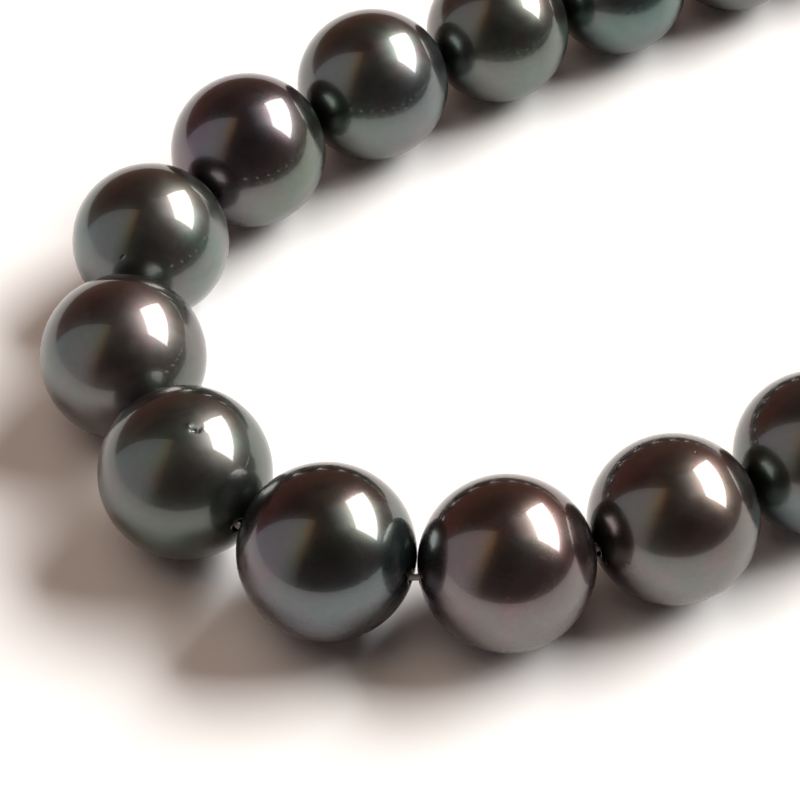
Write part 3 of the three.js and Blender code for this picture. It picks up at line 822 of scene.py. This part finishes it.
# distance from the sloping right-hand edge, which is warmer
edge = nd(nt, "ShaderNodeMath", operation="MULTIPLY_ADD")
nt.links.new(sp.outputs["Y"], edge.inputs[0])
edge.inputs[1].default_value = (E[2] - C[2]) / (E[1] - C[1])
edge.inputs[2].default_value = C[2] - C[1] * (E[2] - C[2]) / (E[1] - C[1])
gap = nd(nt, "ShaderNodeMath", operation="SUBTRACT")
nt.links.new(edge.outputs[0], gap.inputs[0])
nt.links.new(sp.outputs["Z"], gap.inputs[1])
bcr = nt.nodes.new("ShaderNodeValToRGB")
bcr.color_ramp.elements[0].position = 0.0
bcr.color_ramp.elements[0].color = (0.06, 0.04, 0.02, 1)
bcr.color_ramp.elements[1].position = 1.0
bcr.color_ramp.elements[1].color = (0.80, 0.79, 0.86, 1)
e2 = bcr.color_ramp.elements.new(0.33)
e2.color = (0.86, 0.50, 0.24, 1)
e3 = bcr.color_ramp.elements.new(0.50)
e3.color = (0.88, 0.80, 0.60, 1)
e4 = bcr.color_ramp.elements.new(0.64)
e4.color = (0.82, 0.80, 0.80, 1)
half = nd(nt, "ShaderNodeMath", operation="MULTIPLY")
nt.links.new(gap.outputs[0], half.inputs[0])
half.inputs[1].default_value = 0.25
nt.links.new(half.outputs[0], bcr.inputs[0])
side = ramp(nt, sp.outputs["Y"], B[1], B[1] + 0.60, 0.0, 0.92)
nt.links.new(side, em.inputs["Strength"])
nt.links.new(bcr.outputs[0], em.inputs["Color"])
board.data.materials.append(mt)
board.visible_camera = False
board.visible_shadow = False
board.visible_diffuse = False

# a warm fill from the front left, which the pearls don't mirror
fl = bpy.data.lights.new("fill", "AREA")
fl.shape = "RECTANGLE"
fl.size = fl.size_y = 1.6
fl.color = (1.0, 0.80, 0.66)
fl.energy = 1.15 * math.pi * fl.size * fl.size_y
fill = bpy.data.objects.new("fill", fl)
bpy.context.scene.collection.objects.link(fill)
fill.location = (centre[0] - 0.5, centre[1] + 0.1, 1.7)
fill.rotation_euler = Vector((-0.5, 0.1, 1.7)).to_track_quat("Z", "Y").to_euler()
fill.visible_camera = False
fill.visible_glossy = False

world = bpy.data.worlds.new("room")
bpy.context.scene.world = world
world.use_nodes = True
nt = world.node_tree
nt.nodes.clear()
out = nt.nodes.new("ShaderNodeOutputWorld")
room = nt.nodes.new("ShaderNodeBackground")
sky = nt.nodes.new("ShaderNodeBackground")
mixs = nt.nodes.new("ShaderNodeMixShader")
lp = nt.nodes.new("ShaderNodeLightPath")
tc = nt.nodes.new("ShaderNodeTexCoord")
sep = nt.nodes.new("ShaderNodeSeparateXYZ")
nt.links.new(tc.outputs["Generated"], sep.inputs[0])
cr = nt.nodes.new("ShaderNodeValToRGB")
cr.color_ramp.elements[0].position = 0.30
cr.color_ramp.elements[0].color = (0.034, 0.028, 0.028, 1)
cr.color_ramp.elements[1].position = 0.75
cr.color_ramp.elements[1].color = (0.085, 0.040, 0.028, 1)
ymap = nt.nodes.new("ShaderNodeMapRange")
ymap.inputs["From Min"].default_value = -1.0
ymap.inputs["From Max"].default_value = 1.0
nt.links.new(sep.outputs["Y"], ymap.inputs["Value"])
nt.links.new(ymap.outputs[0], cr.inputs[0])
low = nt.nodes.new("ShaderNodeValToRGB")
low.color_ramp.elements[0].position = 0.0
low.color_ramp.elements[0].color = (2.8, 2.6, 2.6, 1)
low.color_ramp.elements[1].position = 0.64
low.color_ramp.elements[1].color = (1.0, 1.0, 1.0, 1)
mid = low.color_ramp.elements.new(0.42)
mid.color = (2.4, 2.1, 2.1, 1)
nt.links.new(sep.outputs["Z"], low.inputs[0])
wm = nt.nodes.new("ShaderNodeVectorMath")
wm.operation = "MULTIPLY"
nt.links.new(cr.outputs[0], wm.inputs[0])
nt.links.new(low.outputs[0], wm.inputs[1])
nt.links.new(wm.outputs[0], room.inputs["Color"])
sky.inputs["Color"].default_value = (0.97, 0.97, 0.97, 1)
nt.links.new(lp.outputs["Is Camera Ray"], mixs.inputs[0])
nt.links.new(room.outputs[0], mixs.inputs[1])
nt.links.new(sky.outputs[0], mixs.inputs[2])
nt.links.new(mixs.outputs[0], out.inputs[0])

vs = bpy.context.scene.view_settings
vs.view_transform = "Standard"
vs.look = "None"
vs.exposure = 0.0
vs.gamma = 1.0

new_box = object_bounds()
plain = lambda x: [plain(y) for y in x] if hasattr(x, "__len__") else float(x)
{"cad": plain(cad_box), "visual": plain(new_box)}
